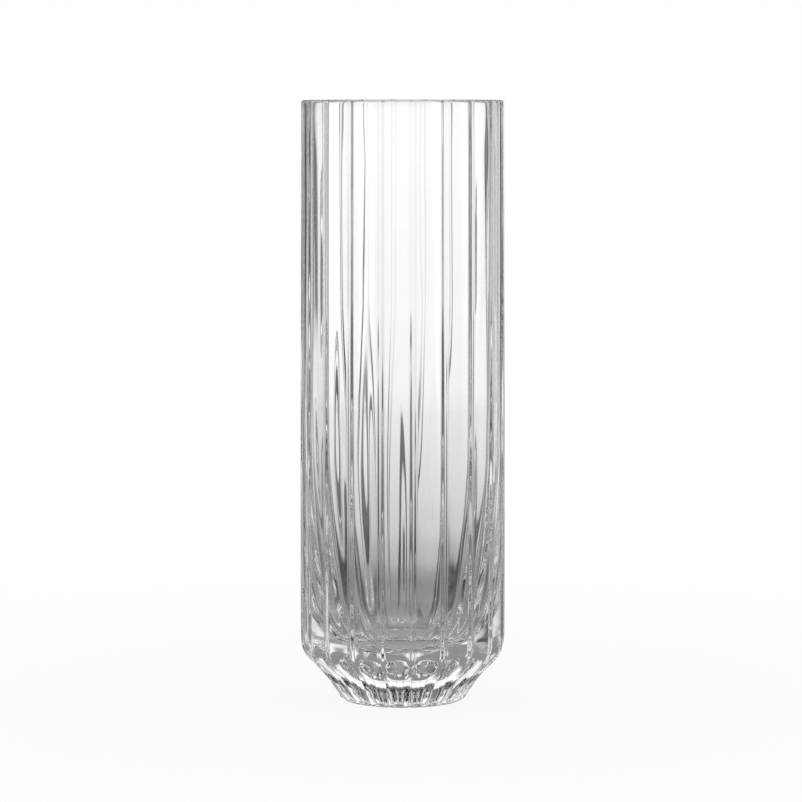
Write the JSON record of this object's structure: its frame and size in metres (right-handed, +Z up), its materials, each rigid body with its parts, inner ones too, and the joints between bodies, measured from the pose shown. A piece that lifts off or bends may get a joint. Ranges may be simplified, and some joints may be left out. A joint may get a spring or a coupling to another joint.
{
  "type": "ribbed glass cylinder vase",
  "caption": "Tall clear pressed-glass cylinder vase with narrow upright ribs, a rounded shoulder, a small scalloped foot and a thick solid base.",
  "frame": {"origin": "middle of the foot, on the face that the vase stands on", "axes": "+Z up along the vase's axis; -Y is the side that faces the camera in the picture"},
  "size_m": [0.1026, 0.1026, 0.3],
  "materials": {
    "glass": "clear fire-polished pressed glass"
  },
  "bodies": {
    "root": {"glass_vase": "glass"}
  },
  "joints": []
}
